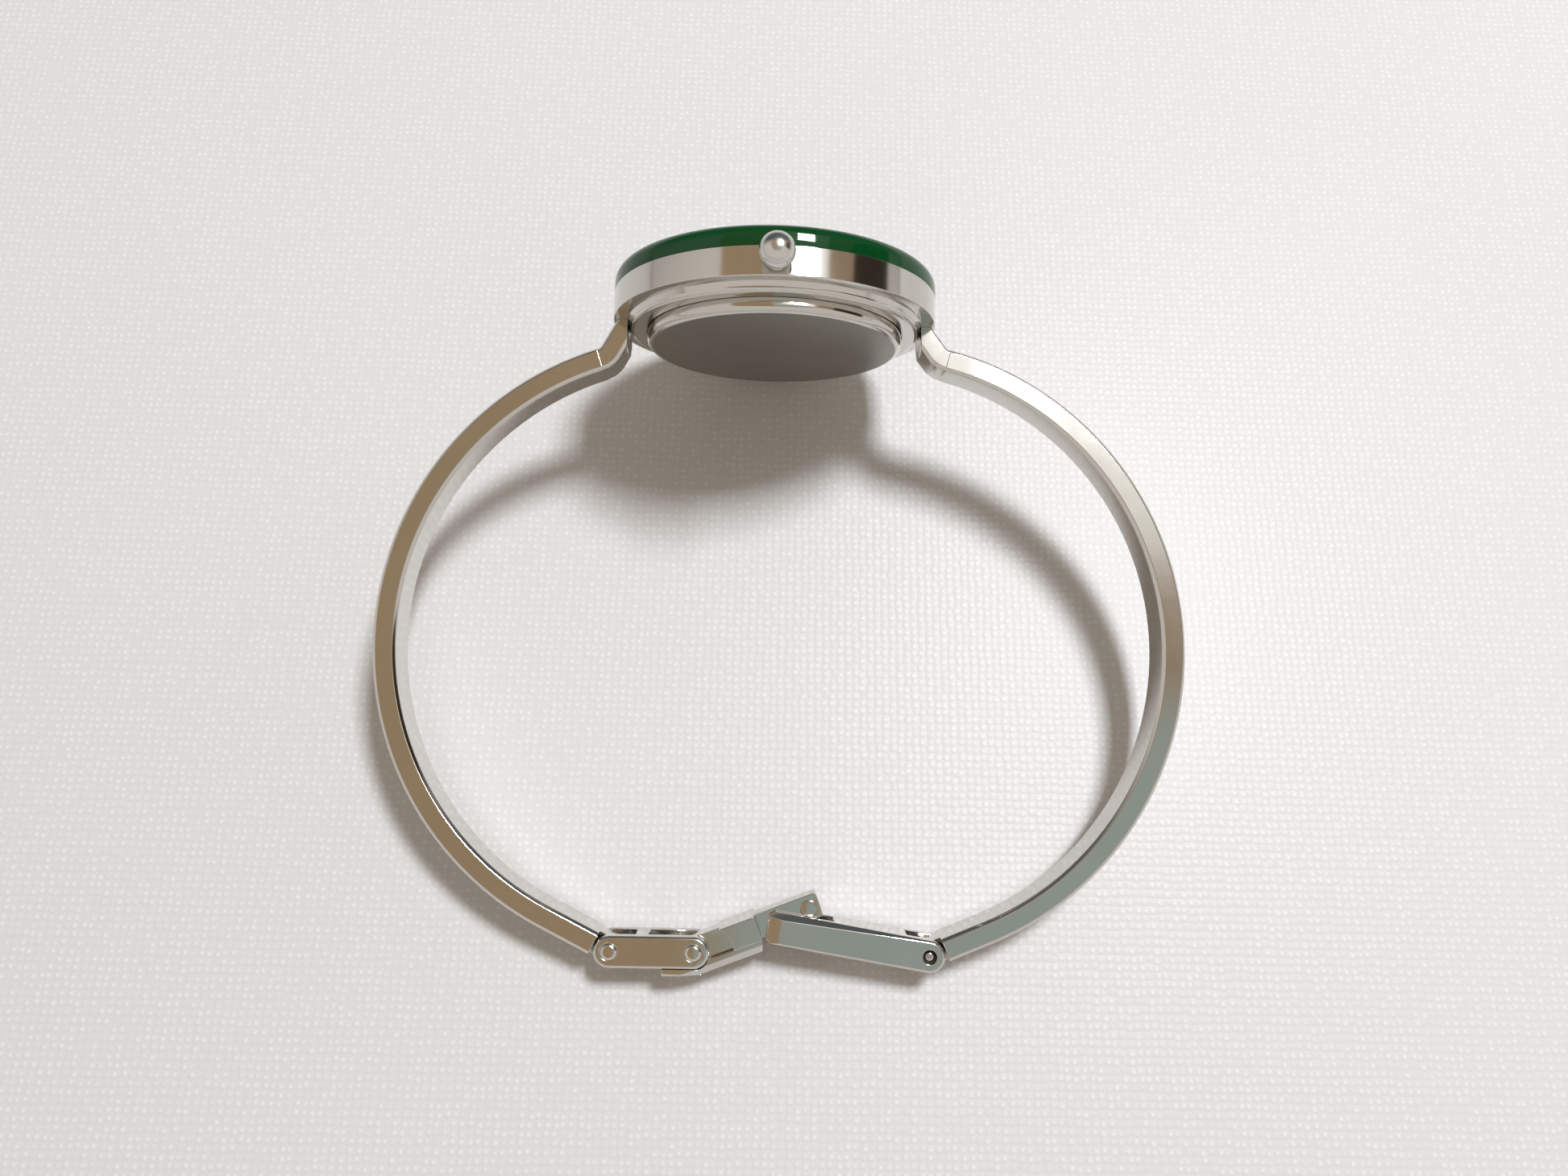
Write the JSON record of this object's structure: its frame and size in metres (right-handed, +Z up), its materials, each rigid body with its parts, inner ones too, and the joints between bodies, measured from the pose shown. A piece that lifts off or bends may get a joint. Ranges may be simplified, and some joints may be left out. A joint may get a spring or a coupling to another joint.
{
  "type": "bangle wristwatch",
  "caption": "Slim rigid bangle wristwatch with a round steel head, glossy green bezel, ball crown and a riveted fold-over clasp; shown on its side with the clasp half open.",
  "frame": {"origin": "centre of the bounding box on the floor the watch lies on", "axes": "+X across the bangle from the six o'clock side to the twelve o'clock side, +Y from the clasp towards the dial, +Z up off the floor; the bangle's own plane leans 12.47 degrees about X, case end raised"},
  "size_m": [0.06, 0.0536, 0.027],
  "materials": {
    "polished_steel": "mirror polished stainless steel",
    "brushed_back": "fine brushed stainless steel",
    "green_bezel": "glossy green coating",
    "crystal_glass": "clear polished",
    "gasket_rubber": "matt",
    "dial_paint": "satin",
    "hand_steel": "polished",
    "brass_train": "plain",
    "holder_plastic": "matt",
    "battery_steel": "satin"
  },
  "bodies": {
    "base": {"case_middle": "polished_steel", "bezel_ring": "green_bezel", "crystal": "crystal_glass", "crystal_gasket": "gasket_rubber", "dial": "dial_paint", "hour_markers": "hand_steel", "movement": "brass_train", "movement_holder": "holder_plastic", "battery": "battery_steel", "battery_clip": "brass_train", "crown_tube": "polished_steel", "case_back": "brushed_back", "case_back_gasket": "gasket_rubber", "left_arm": "polished_steel", "right_arm": "polished_steel"},
    "hour": {"hour_hand": "hand_steel", "hour_pipe": "brass_train"},
    "minute": {"minute_hand": "hand_steel", "minute_post": "brass_train"},
    "stem_slide": {"setting_yoke": "battery_steel"},
    "winder": {"stem": "battery_steel", "crown": "polished_steel"},
    "link": {"clasp_link": "polished_steel", "arm_rivet": "polished_steel", "lever_rivet": "polished_steel"},
    "lever": {"clasp_lever": "polished_steel", "lever_plate": "polished_steel", "catch_pin": "polished_steel"},
    "catch": {"catch_link": "polished_steel", "catch_rivet": "polished_steel"}
  },
  "joints": [
    {"name": "link_hinge", "type": "hinge", "parent": "base", "child": "link", "pos_m": [-0.012, -0.0248, 0.00188], "axis": [0, -0.2159, 0.9764], "range_deg": [-24.8, 45]},
    {"name": "lever_hinge", "type": "hinge", "parent": "link", "child": "lever", "pos_m": [-0.00592, -0.0248, 0.00188], "axis": [0, -0.2159, 0.9764], "range_deg": [0, 90]},
    {"name": "catch_hinge", "type": "hinge", "parent": "base", "child": "catch", "pos_m": [0.0112, -0.0248, 0.00188], "axis": [0, 0.2159, -0.9764], "range_deg": [-29, 50]},
    {"name": "crown_pull", "type": "slide", "parent": "base", "child": "stem_slide", "axis": [0, -0.2159, 0.9764], "range_m": [0, 0.0008]},
    {"name": "crown_turn", "type": "hinge", "parent": "stem_slide", "child": "winder", "pos_m": [-0.001, 0.02168, 0.01215], "axis": [0, -0.2159, 0.9764], "continuous": true},
    {"name": "minute_turn", "type": "hinge", "parent": "base", "child": "minute", "pos_m": [-0.001, 0.02269, 0.01237], "axis": [0, -0.9764, -0.2159], "continuous": true},
    {"name": "hour_turn", "type": "hinge", "parent": "base", "child": "hour", "pos_m": [-0.001, 0.02269, 0.01237], "axis": [0, -0.9764, -0.2159], "continuous": true}
  ],
  "couplings": [
    {"joint": "hour_turn", "follows": "minute_turn", "ratio": 0.083333}
  ]
}
